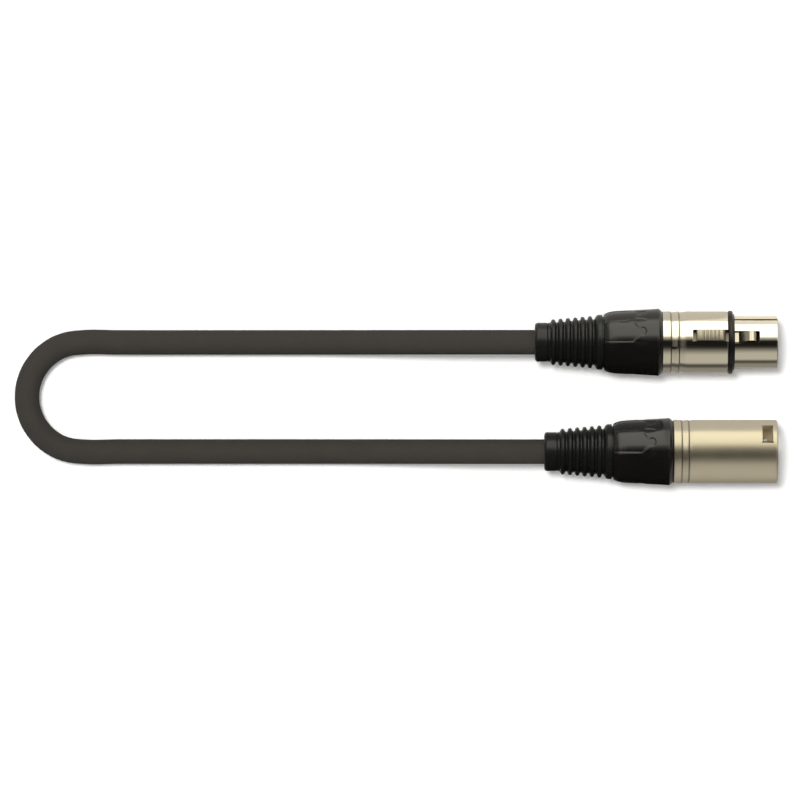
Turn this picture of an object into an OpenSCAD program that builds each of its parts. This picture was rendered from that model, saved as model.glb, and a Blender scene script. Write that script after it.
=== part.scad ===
// Balanced audio lead: a female and a male three-pole plug on one flexible cable.
// Row frame: +X the way both plugs point, +Y towards the female plug, +Z up.
// The origin lies on the surface, under the middle of the two plugs.

/* [Cable] */
// Outside diameter of the cable jacket
cord_d = 7.4; // [6:0.1:8]
// Distance between the two plugs' axes
plug_gap = 32.8; // [28:0.2:40]
// Diameter of an insulated core
core_d = 1.6; // [1:0.1:2]
// Diameter of the twisted shield wire
shield_d = 1.1; // [0.8:0.1:1.6]

/* [Boot] */
// Diameter of the collar at the boot's tail
tail_d = 11.7; // [11:0.1:12.4]
// Length of the tail collar
tail_len = 3.8; // [3:0.1:5]
// Number of ribs
rib_count = 6; // [4:1:7]
// Distance from rib to rib
rib_pitch = 2.2; // [1.9:0.1:2.4]
// Diameter over the first rib
first_rib_d = 13.8; // [13:0.1:14.4]
// Diameter over the last rib
last_rib_d = 15.7; // [15:0.1:16.2]
// Thickness of a rib, with a fully round crest
rib_w = 1.36; // [1.1:0.02:1.5]
// Height of a rib over the boot's core
rib_h = 1.05; // [0.8:0.05:1.2]
// Diameter of the collar next to the screw cap
boot_collar_d = 16.5; // [16:0.1:17]
// Length of that collar
boot_collar_len = 2.3; // [1.8:0.1:3]

/* [Screw cap] */
// Length of the cap
cap_len = 18.1; // [17:0.1:20]
// Diameter of the rim, the widest place of the plug
rim_d = 20.6; // [20:0.1:21.4]
// Diameter near the cap's narrow end
cap_rear_d = 18.9; // [18.4:0.1:19.4]
// Number of flutes in the grip
flute_count = 8; // [6:1:10]
// Depth of a flute at the narrow end
flute_depth = 0.5; // [0.3:0.05:0.7]
// Length of a flute
flute_len = 13.4; // [10:0.1:15]
// Distance that the cap moves in one turn
thread_pitch = 1.5; // [1:0.25:2]
// Outside diameter of the thread on the shell
thread_d = 16.6; // [16:0.1:17]

/* [Shells] */
// Inside diameter of both shells behind the contacts
shell_bore_d = 14.2; // [13.8:0.1:14.4]
// Diameter of the female plug's body
female_body_d = 18.5; // [18:0.1:19]
// Length of the female body in front of the cap
female_body_len = 19; // [18:0.1:21]
// Outside diameter of the nose
nose_d = 15.8; // [15.6:0.05:15.9]
// Length of the nose in front of the rubber ring
nose_len = 12.5; // [12:0.1:13]
// Wall of the nose
nose_wall = 1; // [0.8:0.05:1.1]
// Diameter of the male plug's body
male_body_d = 19; // [18.8:0.1:19.4]
// Length of the male body in front of the cap
male_body_len = 31.1; // [30:0.1:32]
// Inside diameter of the cup around the pins
cup_d = 16.1; // [16.05:0.05:16.3]
// Depth of that cup
cup_depth = 14; // [13.5:0.1:14.5]
// Depth of the two round grooves next to the cap
groove_depth = 0.22; // [0.1:0.02:0.3]

/* [Rubber ring] */
// Diameter of the ring
ring_d = 19; // [18.6:0.1:19.4]
// Diameter of its front lip
ring_lip_d = 17.2; // [16.8:0.1:17.6]
// Length of the ring with its lip
ring_len = 2.4; // [2:0.1:3]

/* [Contacts] */
// Diameter of the circle that the contacts lie on
contact_circle_d = 7.62; // [7.5:0.02:7.7]
// Diameter of a pin
pin_d = 2.4; // [2.3:0.02:2.4]
// Inside diameter of a socket
socket_bore_d = 2.5; // [2.46:0.02:2.6]
// Outside diameter of a socket
socket_d = 3.4; // [3.2:0.05:3.5]
// Distance from the cup's rim back to the pins' tips
pin_setback = 3; // [2.5:0.1:3.5]
// Diameter of a solder cup
solder_cup_d = 3; // [2.8:0.1:3.2]
// Length of a solder cup
solder_cup_len = 5.8; // [5:0.1:6.4]

/* [Latch] */
// Width of the lever
lever_w = 3; // [2.6:0.1:3.2]
// Thickness of the lever
lever_t = 1.2; // [1:0.1:1.3]
// Length of the thumb pad
pad_len = 8.2; // [7:0.1:8.6]
// Width of the thumb pad
pad_w = 3.4; // [3:0.1:3.5]
// Number of grooves across the pad
pad_groove_count = 7; // [5:1:8]
// Distance from the plug's axis to the pad's top
pad_top = 9.8; // [9.5:0.1:10.2]
// Distance from the plug's axis to the hook's crest
hook_top = 8.75; // [8.5:0.05:8.9]
// Diameter of the lever's trunnions
trunnion_d = 1.1; // [0.9:0.05:1.2]
// Turn of the female plug about its axis, from latch up towards +Y
female_roll = 12.5; // [0:0.5:30]
// Turn of the male plug about its axis, from window up towards +Y
male_roll = 36; // [0:0.5:60]

/* [Clearances] */
// Around the cable in the boot
boot_clear = 0.15; // [0.1:0.01:0.3]
// Between a turning piece and its seat
turn_clear = 0.1; // [0.05:0.01:0.15]
// Between pieces that don't move against each other
seat_clear = 0.05; // [0.03:0.01:0.1]
// Seam between boot and cap, and other open gaps
seam = 0.3; // [0.2:0.05:0.4]

/* [Hidden] */
$fn = 96;
eps = 0.01;

// Every plug is drawn about the Z axis, tail at z = 0, latch or window on the +Y side.
// Stations along the plug's axis
rib_space = 0.9;
first_rib_z = tail_len + rib_w / 2 + rib_space;
last_rib_z = first_rib_z + (rib_count - 1) * rib_pitch;
boot_collar_z = last_rib_z + rib_w / 2 + rib_space;
boot_end_z = boot_collar_z + boot_collar_len;
cap_z = boot_end_z + seam;
cap_end_z = cap_z + cap_len;
body_z = cap_end_z + turn_clear;
lip_t = 1.7;
flange_z = cap_z + lip_t + turn_clear;
flange_t = 1.25;
chuck_z = flange_z + flange_t + seam;
cone_len = 5.2;
chuck_step_z = chuck_z + cone_len;
spigot_z = chuck_step_z + seam;
chuck_barrel_len = 6.6;
chuck_end_z = spigot_z + chuck_barrel_len;
insert_z = chuck_end_z + seam / 2;
skirt_len = 9.2;
skirt_t = 1.25;
block_z = insert_z + skirt_len;
jacket_end_z = chuck_end_z - 3;
solder_cup_z = block_z - solder_cup_len;
solder_cup_depth = 4.6;
solder_cup_wall = 0.45;

// Radii shared by pieces that fit together
cord_r = cord_d / 2;
boot_bore_r = cord_r + boot_clear;
neck_t = 1.35;
neck_r = boot_bore_r + neck_t;
flange_r = neck_r + 0.7;
bore_r = shell_bore_d / 2;
insert_r = bore_r - seat_clear;
cone_r = flange_r + turn_clear;
cone_rise = 1.6;
axis_h = rim_d / 2;

// Female stations
lip_len = 0.7;
ring_z = body_z + female_body_len;
nose_z = ring_z + ring_len;
nose_end_z = nose_z + nose_len;
nose_bore_r = nose_d / 2 - nose_wall;
female_face_z = nose_end_z - seam;
socket_end_z = female_face_z - 0.6;
socket_depth = 10.2;
socket_slit = 0.35;

// Male stations
rim_z = body_z + male_body_len;
cup_z = rim_z - cup_depth;
stop_z = cup_z - 1.3;
stop_r = bore_r - 0.4;
pin_end_z = rim_z - pin_setback;
shank_len = 5;
shank_r = pin_d / 2 + 0.3;
window_len = 3;
window_w = 6.4;
window_setback = 1.3;

// Latch: pivot at the rear, hook over the window of a mated cup
lever_top = nose_bore_r - seam;
lever_y = lever_top - lever_t;
pivot_y = lever_top - 0.8;
pivot_z = body_z + 8.2;
pad_z = pivot_z + 1.8;
slot_w = pad_w + 2 * seam;
slot_z = pad_z - 1.2;
hook_z = nose_z + 1.9;
hook_slot_end_z = hook_z + 5.5;
lever_end_z = hook_slot_end_z + 0.6;
channel_w = lever_w + 2 * turn_clear + 0.2;
channel_y = lever_y - 1.6;
trunnion_len = 5;
spring_z = pivot_z + 6.1;
spring_y = channel_y - 1.6;
spring_r = 0.95;
spring_wire_d = 0.32;
spring_turns = 5;
key_angle = 46;
key_w = 0.7;
key_depth = 0.45;
key_clear = 0.1;

// Places of the two plugs
female_tail_x = -nose_end_z / 2;
male_tail_x = nose_end_z / 2 - rim_z;

// Flat springs in the sides of the inserts
ground_half_angle = 14;
ground_t = 0.3;
female_ground = [block_z + 3, block_z + 12];
male_ground = [block_z + 1, block_z + 7.5];

// Places of the contacts: [across, up]
contact_r = contact_circle_d / 2;
female_contacts = [[contact_r, 0], [-contact_r, 0], [0, -contact_r]];
male_contacts = [[-contact_r, 0], [contact_r, 0], [0, -contact_r]];

// Route of the free cable, from the female boot round the bend to the male boot
cord_bend = [
    [-47, 16.4, 10.3], [-58, 16.4, 9.9], [-69, 16.4, 8.7], [-80, 16.4, 7], [-91, 16.4, 5.3],
    [-102, 16.4, 4.2], [-113, 16.4, 3.8], [-125, 16.4, 3.7], [-137, 16.4, 3.7],
    [-149, 16.4, 3.7], [-161, 16.4, 3.7], [-172.5, 16.4, 3.7], [-177.6, 15.6, 3.7],
    [-182.1, 13.3, 3.7], [-185.8, 9.6, 3.7], [-188.1, 5.1, 3.7], [-188.9, 0, 3.7],
    [-188.1, -5.1, 3.7], [-185.8, -9.6, 3.7], [-182.1, -13.3, 3.7], [-177.6, -15.6, 3.7],
    [-172.5, -16.4, 3.7], [-161, -16.4, 3.7], [-149, -16.4, 3.7], [-137, -16.4, 3.7],
    [-125, -16.4, 3.7], [-112, -16.4, 3.7], [-100, -16.4, 3.9], [-89, -16.4, 4.5],
    [-78, -16.4, 5.9], [-67, -16.4, 7.8], [-56, -16.4, 9.5], [-45, -16.4, 10.3]];
cord_route = concat(
    [[female_tail_x, plug_gap / 2, axis_h]],
    cord_bend,
    [[male_tail_x, -plug_gap / 2, axis_h]]);

// ---- curves and sweeps ----

// A point between b and c on the smooth curve through a, b, c and d
function curve_point(a, b, c, d, t) =
    b + t / 2 * ((c - a) + t * ((2 * a - 5 * b + 4 * c - d) + t * (3 * b - a - 3 * c + d)));

// A route with each span halved on the smooth curve through its points
function smooth_route(p) = concat(
    [p[0]],
    [for (i = [0 : len(p) - 2]) each [
        curve_point(p[max(i - 1, 0)], p[i], p[i + 1], p[min(i + 2, len(p) - 1)], 0.5),
        p[i + 1]]]);
// A point no lower than the cable can lie
function lie(p) = [p.x, p.y, max(p.z, cord_r)];
function unit(v) = v / norm(v);

// Rings of points around a path that never runs along the direction ref
function ring_points(path, r, sides, ref, i) =
    let (last = len(path) - 1)
    let (along = unit(path[min(i + 1, last)] - path[max(i - 1, 0)]))
    let (across = unit(cross(ref, along)))
    let (up = cross(along, across))
    [for (k = [0 : sides - 1]) path[i]
        + r * cos(360 * k / sides) * across + r * sin(360 * k / sides) * up];

// A closed tube of radius r along a path
module sweep_tube(path, r, sides, ref = [0, 0, 1]) {
    rings = len(path);
    points = [for (i = [0 : rings - 1]) each ring_points(path, r, sides, ref, i)];
    start_cap = [[for (k = [0 : sides - 1]) k]];
    end_cap = [[for (k = [sides - 1 : -1 : 0]) (rings - 1) * sides + k]];
    walls = [for (i = [0 : rings - 2], k = [0 : sides - 1]) [
        i * sides + k, (i + 1) * sides + k,
        (i + 1) * sides + (k + 1) % sides, i * sides + (k + 1) % sides]];
    polyhedron(points, concat(start_cap, walls, end_cap));
}

// Corner points of an arc, in the order radius, station
function arc(r, z, size, from, to, steps) = [for (i = [0 : steps])
    let (a = from + (to - from) * i / steps) [r + size * cos(a), z + size * sin(a)]];

// ---- shapes that repeat ----

// A tube or disc between two stations
module tube(z1, z2, outer, inner = 0) {
    translate([0, 0, z1]) difference() {
        cylinder(h = z2 - z1, r = outer);
        if (inner > 0) translate([0, 0, -1]) cylinder(h = z2 - z1 + 2, r = inner);
    }
}

// A round-bottomed groove around a body of radius r
module round_groove(z, r, half_w, depth) {
    size = (half_w * half_w + depth * depth) / (2 * depth);
    translate([0, 0, z]) rotate_extrude() translate([r + size - depth, 0]) circle(size);
}

// Place a plug's piece
module female_place() {
    translate([female_tail_x, plug_gap / 2, axis_h])
        rotate([-female_roll, 0, 0]) rotate([90, 0, 90]) children();
}
module male_place() {
    translate([male_tail_x, -plug_gap / 2, axis_h])
        rotate([-male_roll, 0, 0]) rotate([90, 0, 90]) children();
}

// ---- pieces that both plugs have ----

// Ribbed rubber boot: tail collar, ribs, front collar, and a flange held inside the cap
module boot() {
    rib_r = rib_w / 2;
    first_r = first_rib_d / 2;
    last_r = last_rib_d / 2;
    tail_round = 0.8;
    difference() {
        union() {
            rotate_extrude() polygon(concat(
                [[0, 0]],
                arc(tail_d / 2 - tail_round, tail_round, tail_round, -90, 0, 6),
                arc(tail_d / 2 - 0.4, tail_len - 0.4, 0.4, 0, 90, 4),
                [[0, tail_len]]));
            translate([0, 0, tail_len - eps])
                cylinder(h = boot_collar_z + 1 - tail_len, r1 = first_r - rib_h, r2 = last_r - rib_h);
            for (i = [0 : rib_count - 1]) {
                r = first_r + (last_r - first_r) * i / (rib_count - 1) - rib_r;
                translate([0, 0, first_rib_z + i * rib_pitch])
                    rotate_extrude() translate([r, 0]) circle(rib_r);
            }
            rotate_extrude() polygon([[0, boot_collar_z], [last_r - rib_h - 0.2, boot_collar_z],
                [boot_collar_d / 2 - 0.2, boot_collar_z + 0.9], [boot_collar_d / 2, boot_collar_z + 1.2],
                [boot_collar_d / 2, boot_end_z - 0.2], [boot_collar_d / 2 - 0.2, boot_end_z],
                [0, boot_end_z]]);
            tube(boot_end_z - eps, flange_z + flange_t, neck_r);
            tube(flange_z, flange_z + flange_t, flange_r);
        }
        translate([0, 0, -1]) cylinder(h = flange_z + flange_t + 2, r = boot_bore_r);
    }
}

// Screw cap: fluted grip outside; lip, cone and thread bore inside
module cap() {
    rim_r = rim_d / 2;
    rear_r = cap_rear_d / 2;
    thread_r = thread_d / 2 + turn_clear;
    slope = atan((rim_r - rear_r) / cap_len);
    flute_half_w = 3.1;
    flute_r = (flute_half_w * flute_half_w + flute_depth * flute_depth) / (2 * flute_depth);
    flute_tilt = slope + atan(flute_depth / flute_len);
    difference() {
        rotate_extrude() polygon(concat(
            [[neck_r + turn_clear, cap_z]],
            arc(rear_r - 1.7, cap_z + 1.4, 1.4, -90, -15, 5),
            [[rear_r, cap_z + 3], [rear_r + 0.38 * (rim_r - rear_r), cap_z + 7]],
            arc(rim_r - 0.9, cap_end_z - 0.9, 0.9, 10, 90, 6),
            [[thread_r, cap_end_z], [thread_r, spigot_z - seam],
            [cone_r + cone_rise, spigot_z - seam], [cone_r, chuck_z + seam / 2],
            [cone_r, cap_z + lip_t], [neck_r + turn_clear, cap_z + lip_t]]));
        for (i = [0 : flute_count - 1])
            rotate([0, 0, (i + 0.2) * 360 / flute_count])
                translate([0, rear_r + flute_r - flute_depth, cap_z + 0.5])
                    rotate([-flute_tilt, 0, 0]) translate([0, 0, -4])
                        cylinder(h = flute_len + 6, r = flute_r);
    }
}

// Slotted collet around the jacket, squeezed by the cap's cone
module chuck() {
    slot = 0.8;
    difference() {
        union() {
            translate([0, 0, chuck_z])
                cylinder(h = cone_len, r1 = flange_r - turn_clear, r2 = flange_r - turn_clear + cone_rise);
            tube(chuck_step_z - eps, chuck_end_z, bore_r - turn_clear);
        }
        translate([0, 0, chuck_z - 1])
            cylinder(h = chuck_end_z - chuck_z + 2, r = cord_r + seat_clear);
        for (a = [0 : 60 : 120])
            rotate([0, 0, a]) translate([-bore_r - 2, -slot / 2, chuck_z - 1])
                cube([2 * bore_r + 4, slot, cone_len]);
    }
}

// The jacket inside a plug, cut square where the cores leave it
module cable_end() {
    tube(0, jacket_end_z, cord_r);
}

// Rear of a shell: the threaded spigot and the bore behind the contacts
module spigot() {
    crest_r = thread_d / 2;
    root_r = crest_r - 0.3;
    half_w = 0.4;
    translate([0, 0, spigot_z]) cylinder(h = body_z - spigot_z + eps, r = root_r);
    for (z = [spigot_z + 2 * half_w : thread_pitch : body_z - 3 * half_w])
        translate([0, 0, z]) rotate_extrude()
            polygon([[1, -half_w], [root_r, -half_w], [crest_r, -half_w / 4],
                [crest_r, half_w / 4], [root_r, half_w], [1, half_w]]);
}

// The two round grooves at the rear of a shell's body
module body_grooves(body_r) {
    round_groove(body_z + 2.5, body_r, 0.6, groove_depth);
    round_groove(body_z + 5, body_r, 1, groove_depth);
}

// Rear skirt of an insert, open in the middle for the solder cups
module insert_skirt() {
    tube(insert_z, block_z + eps, insert_r, insert_r - skirt_t);
}

// Flat spring in the side of an insert, touching the shell
module ground_spring_shape(z1, z2, inner, outer, half_angle) {
    translate([0, 0, z1]) rotate([0, 0, 225 - half_angle])
        rotate_extrude(angle = 2 * half_angle) translate([inner, 0]) square([outer - inner, z2 - z1]);
}
module ground_spring(at) {
    ground_spring_shape(at[0], at[1], insert_r - ground_t, insert_r, ground_half_angle);
}
module ground_spring_recess(at) {
    ground_spring_shape(at[0] - seat_clear, at[1] + seat_clear,
        insert_r - ground_t - seat_clear, insert_r + 1, ground_half_angle + 0.5);
}

// Solder cup of one contact, with its mouth cut away on top
module solder_cup(at) {
    cup_r = solder_cup_d / 2;
    translate([at.x, at.y, 0]) difference() {
        tube(solder_cup_z, block_z + eps, cup_r);
        translate([0, 0, solder_cup_z - 1])
            cylinder(h = solder_cup_depth + 1, r = cup_r - solder_cup_wall);
        translate([-cup_r - 1, 0.3, solder_cup_z - 1])
            cube([2 * cup_r + 2, cup_r + 1, solder_cup_depth / 2 + 1]);
    }
}

// A core or the shield wire from the jacket's end to its cup, soldered in
module core_wire(from, at, d) {
    run = solder_cup_z - seat_clear - jacket_end_z;
    along = [0, 0.15, 0.4, 0.72, 0.88, 1];
    aside = [0, 0.02, 0.25, 0.85, 1, 1];
    route = [for (i = [0 : len(along) - 1]) [
        from.x + (at.x - from.x) * aside[i],
        from.y + (at.y - from.y) * aside[i],
        jacket_end_z + run * along[i]]];
    sweep_tube(smooth_route(route), d / 2, 8, [1, 0, 0]);
    translate([at.x, at.y, solder_cup_z - 0.3])
        cylinder(h = solder_cup_depth, r = solder_cup_d / 2 - solder_cup_wall - seat_clear);
}

// ---- female plug ----

module female_shell() color("gainsboro") female_place() {
    body_r = female_body_d / 2;
    nose_r = nose_d / 2;
    difference() {
        union() {
            spigot();
            rotate_extrude() polygon(concat(
                [[1, body_z], [body_r - 0.3, body_z], [body_r, body_z + 0.3]],
                arc(body_r - 0.3, ring_z - 0.3, 0.3, 0, 90, 4),
                [[nose_r, ring_z], [nose_r, nose_end_z - 0.4]],
                arc(nose_r - 0.4, nose_end_z - 0.4, 0.4, 0, 90, 5),
                [[1, nose_end_z]]));
        }
        body_grooves(body_r);
        translate([0, 0, spigot_z - 1]) cylinder(h = nose_z - spigot_z + 1, r = bore_r);
        translate([0, 0, nose_z - 1]) cylinder(h = nose_len + 2, r = nose_bore_r);
        // slot for the thumb pad
        translate([-slot_w / 2, 0, slot_z]) cube([slot_w, body_r + 1, ring_z - slot_z]);
        // slot for the hook
        translate([-channel_w / 2, 0, nose_z - eps])
            cube([channel_w, nose_r + 1, hook_slot_end_z - nose_z]);
        // keyway along the nose
        rotate([0, 0, -key_angle]) translate([-key_w / 2, nose_r - key_depth, nose_z])
            cube([key_w, 2, nose_len + 1]);
    }
}

module nose_ring() color("black") female_place() {
    ring_r = ring_d / 2;
    lip_r = ring_lip_d / 2;
    bore = nose_d / 2 + seat_clear;
    rotate_extrude() polygon(concat(
        [[bore, ring_z + seat_clear]],
        arc(ring_r - 0.5, ring_z + 0.6, 0.5, -80, 0, 4),
        arc(ring_r - 0.3, nose_z - lip_len - 0.3, 0.3, 0, 90, 4),
        arc(lip_r - 0.2, nose_z - 0.2, 0.2, 0, 90, 3),
        [[bore, nose_z]]));
}

module female_insert() color("dimgray") female_place() {
    hole_r = socket_d / 2 + seat_clear;
    pocket_w = trunnion_len + 4 * turn_clear;
    pocket_len = trunnion_d + 3 * turn_clear;
    difference() {
        union() {
            insert_skirt();
            tube(block_z, nose_z - seat_clear, insert_r);
            tube(nose_z - seat_clear - eps, female_face_z, nose_bore_r - seat_clear);
        }
        for (c = female_contacts) translate([c.x, c.y, 0]) {
            translate([0, 0, block_z - 1]) cylinder(h = socket_end_z - block_z + 1, r = hole_r);
            translate([0, 0, socket_end_z - 1]) cylinder(h = 5, r = socket_bore_d / 2 + 0.3);
        }
        // channel for the lever, pocket for its trunnions, seat for its spring
        translate([-channel_w / 2, channel_y, block_z - 1])
            cube([channel_w, 10, lever_end_z + seam + 1 - block_z]);
        translate([-pocket_w / 2, pivot_y - trunnion_d / 2 - turn_clear, pivot_z - pocket_len / 2])
            cube([pocket_w, 10, pocket_len]);
        translate([0, spring_y, spring_z]) rotate([-90, 0, 0])
            cylinder(h = 5, r = spring_r + 2 * turn_clear);
        ground_spring_recess(female_ground);
    }
}

// Socket contact: solder cup, shank and split sleeve
module female_contact(at) {
    z1 = socket_end_z - socket_depth;
    color("silver") female_place() {
        solder_cup(at);
        translate([at.x, at.y, 0]) difference() {
            tube(block_z, socket_end_z, socket_d / 2);
            translate([0, 0, z1]) cylinder(h = socket_depth + 1, r = socket_bore_d / 2);
            translate([-socket_slit / 2, -socket_d, z1 + 3])
                cube([socket_slit, 2 * socket_d, socket_depth]);
        }
    }
}
module female_contact_1() female_contact(female_contacts[0]);
module female_contact_2() female_contact(female_contacts[1]);
module female_contact_3() female_contact(female_contacts[2]);

// Lever with trunnions at its rear, grooved thumb pad and hook
module latch() color("silver") female_place() {
    pad_r = 0.25;
    groove_pitch = (pad_len - 2) / (pad_groove_count - 1);
    translate([-lever_w / 2, lever_y, pivot_z - 0.4])
        cube([lever_w, lever_t, lever_end_z - pivot_z + 0.4]);
    translate([-trunnion_len / 2, pivot_y, pivot_z]) rotate([0, 90, 0])
        cylinder(h = trunnion_len, d = trunnion_d, $fn = 48);
    // thumb pad
    difference() {
        translate([-pad_w / 2, lever_top - eps, pad_z]) rotate([0, -90, 0]) mirror([0, 0, 1])
            linear_extrude(pad_w) polygon([[0, 0], [pad_len, 0], [pad_len, pad_top - lever_top - pad_r],
                [pad_len - pad_r, pad_top - lever_top], [pad_r, pad_top - lever_top],
                [0, pad_top - lever_top - pad_r]]);
        for (i = [0 : pad_groove_count - 1])
            translate([-pad_w, pad_top, pad_z + 1 + i * groove_pitch]) rotate([0, 90, 0])
                rotate([0, 0, 45]) translate([-0.2, -0.2, 0]) cube([0.4, 0.4, 2 * pad_w]);
    }
    // hook: steep behind, sloping in front
    translate([-lever_w / 2, lever_top - eps, hook_z]) rotate([0, -90, 0]) mirror([0, 0, 1])
        linear_extrude(lever_w) polygon([[-0.9, 0], [-0.7, 0.5], [0.6, hook_top - lever_top - 0.1],
            [0.9, hook_top - lever_top], [1.5, hook_top - lever_top], [2, hook_top - lever_top - 0.2],
            [4, 0.7], [4.2, 0]]);
}

// Coil spring under the pad
module latch_spring() color("silver") female_place() {
    wire_r = spring_wire_d / 2;
    low = spring_y + wire_r + seat_clear;
    high = lever_y - wire_r - seat_clear;
    steps = 12 * spring_turns;
    path = [for (i = [0 : steps]) [spring_r * cos(30 * i), spring_r * sin(30 * i),
        low + (high - low) * i / steps]];
    translate([0, 0, spring_z]) rotate([-90, 0, 0]) sweep_tube(path, wire_r, 8);
}

module female_ground_spring() color("silver") female_place() ground_spring(female_ground);
module female_chuck() color("whitesmoke") female_place() chuck();
module female_bushing() color("black") female_place() cap();
module female_boot() color("darkslategray") female_place() boot();
module female_cable_end() color("dimgray") female_place() cable_end();
module female_shield_wire() color("peru") female_place()
    core_wire([1.6, -1.2], female_contacts[0], shield_d);
module female_conductor_2() color("red") female_place()
    core_wire([-1.5, 0.9], female_contacts[1], core_d);
module female_conductor_3() color("white") female_place()
    core_wire([-0.5, -1.9], female_contacts[2], core_d);

// ---- male plug ----

module male_shell() color("tan") male_place() {
    body_r = male_body_d / 2;
    cup_r = cup_d / 2;
    difference() {
        union() {
            spigot();
            rotate_extrude() polygon(concat(
                [[1, body_z], [body_r - 0.3, body_z], [body_r, body_z + 0.3]],
                arc(body_r - 0.6, rim_z - 0.6, 0.6, 0, 90, 6),
                [[1, rim_z]]));
        }
        body_grooves(body_r);
        translate([0, 0, spigot_z - 1]) cylinder(h = stop_z - spigot_z + 1, r = bore_r);
        translate([0, 0, stop_z - 1]) cylinder(h = cup_z - stop_z + 2, r = stop_r);
        difference() {
            translate([0, 0, cup_z]) cylinder(h = cup_depth + 1, r = cup_r);
            // key rib that enters the female plug's keyway
            rotate([0, 0, key_angle])
                translate([-key_w / 2 + key_clear, cup_r - key_depth + key_clear / 2, cup_z])
                    cube([key_w - 2 * key_clear, 2, cup_depth - 1]);
        }
        // window for the hook
        translate([-window_w / 2, 0, rim_z - window_setback - window_len])
            cube([window_w, body_r + 1, window_len]);
    }
}

module male_insert() color("dimgray") male_place() {
    difference() {
        union() {
            insert_skirt();
            tube(block_z, stop_z - seat_clear, insert_r);
            tube(stop_z - seat_clear - eps, cup_z, stop_r - seat_clear);
        }
        for (c = male_contacts) translate([c.x, c.y, 0]) {
            translate([0, 0, block_z - 1]) cylinder(h = shank_len + 1, r = socket_d / 2 + seat_clear);
            translate([0, 0, block_z])
                cylinder(h = cup_z - block_z + 1, r = shank_r + seat_clear);
        }
        ground_spring_recess(male_ground);
    }
}

// Pin contact: solder cup, flange, shank in the insert and a round-tipped pin
module male_pin(at) {
    pin_r = pin_d / 2;
    color("silver") male_place() {
        solder_cup(at);
        translate([at.x, at.y, 0]) {
            tube(block_z, block_z + shank_len - seat_clear, socket_d / 2);
            tube(block_z + shank_len - 1, cup_z + 0.1, shank_r);
            tube(cup_z, pin_end_z - pin_r, pin_r);
            translate([0, 0, pin_end_z - pin_r]) sphere(r = pin_r, $fn = 48);
        }
    }
}
module male_pin_1() male_pin(male_contacts[0]);
module male_pin_2() male_pin(male_contacts[1]);
module male_pin_3() male_pin(male_contacts[2]);

module male_ground_spring() color("silver") male_place() ground_spring(male_ground);
module male_chuck() color("whitesmoke") male_place() chuck();
module male_bushing() color("black") male_place() cap();
module male_boot() color("darkslategray") male_place() boot();
module male_cable_end() color("dimgray") male_place() cable_end();
module male_shield_wire() color("peru") male_place()
    core_wire([-1.6, -1.2], male_contacts[0], shield_d);
module male_conductor_2() color("red") male_place()
    core_wire([1.5, 0.9], male_contacts[1], core_d);
module male_conductor_3() color("white") male_place()
    core_wire([0.5, -1.9], male_contacts[2], core_d);

// ---- free cable ----

module cable() color("dimgray")
    sweep_tube([for (p = smooth_route(cord_route)) lie(p)], cord_r, 12);

female_shell();
nose_ring();
female_insert();
female_contact_1();
female_contact_2();
female_contact_3();
latch();
latch_spring();
female_ground_spring();
female_chuck();
female_bushing();
female_boot();
female_cable_end();
female_shield_wire();
female_conductor_2();
female_conductor_3();
male_shell();
male_insert();
male_pin_1();
male_pin_2();
male_pin_3();
male_ground_spring();
male_chuck();
male_bushing();
male_boot();
male_cable_end();
male_shield_wire();
male_conductor_2();
male_conductor_3();
cable();
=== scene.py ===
from math import atan2, cos, degrees, hypot, pi, radians, sin, sqrt, tau

import bmesh
import bpy
from mathutils import Matrix, Vector


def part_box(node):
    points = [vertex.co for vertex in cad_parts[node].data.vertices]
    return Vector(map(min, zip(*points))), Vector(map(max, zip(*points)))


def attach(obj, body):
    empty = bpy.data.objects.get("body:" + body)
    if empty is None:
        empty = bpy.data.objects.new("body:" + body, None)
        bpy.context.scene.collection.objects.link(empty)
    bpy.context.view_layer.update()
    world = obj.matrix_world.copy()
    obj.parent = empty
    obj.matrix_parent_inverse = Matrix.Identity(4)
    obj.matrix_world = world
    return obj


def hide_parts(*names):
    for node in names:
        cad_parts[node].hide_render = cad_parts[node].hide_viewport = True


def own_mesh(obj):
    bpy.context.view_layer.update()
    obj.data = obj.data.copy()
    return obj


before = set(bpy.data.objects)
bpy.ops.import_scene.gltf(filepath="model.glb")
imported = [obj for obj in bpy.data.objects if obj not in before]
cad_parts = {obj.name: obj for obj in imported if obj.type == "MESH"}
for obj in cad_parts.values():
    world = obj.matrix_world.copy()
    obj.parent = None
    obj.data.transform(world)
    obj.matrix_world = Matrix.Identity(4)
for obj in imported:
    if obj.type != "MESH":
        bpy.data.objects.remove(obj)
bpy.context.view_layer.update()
collection = bpy.context.scene.collection

# ---- Camera ----
# A long lens high above the surface, looking straight down on the whole lead.
camera_height = 2.5
axis_height = 0.0103
view_middle = (-0.07678, -0.000915)
view_width = 0.2399
camera_data = bpy.data.cameras.new("camera")
camera_data.sensor_width = 36
camera_data.lens = camera_data.sensor_width * camera_height / view_width
camera_data.clip_end = 20
camera = bpy.data.objects.new("camera", camera_data)
camera.location = (*view_middle, axis_height + camera_height)
collection.objects.link(camera)
bpy.context.scene.camera = camera

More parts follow.
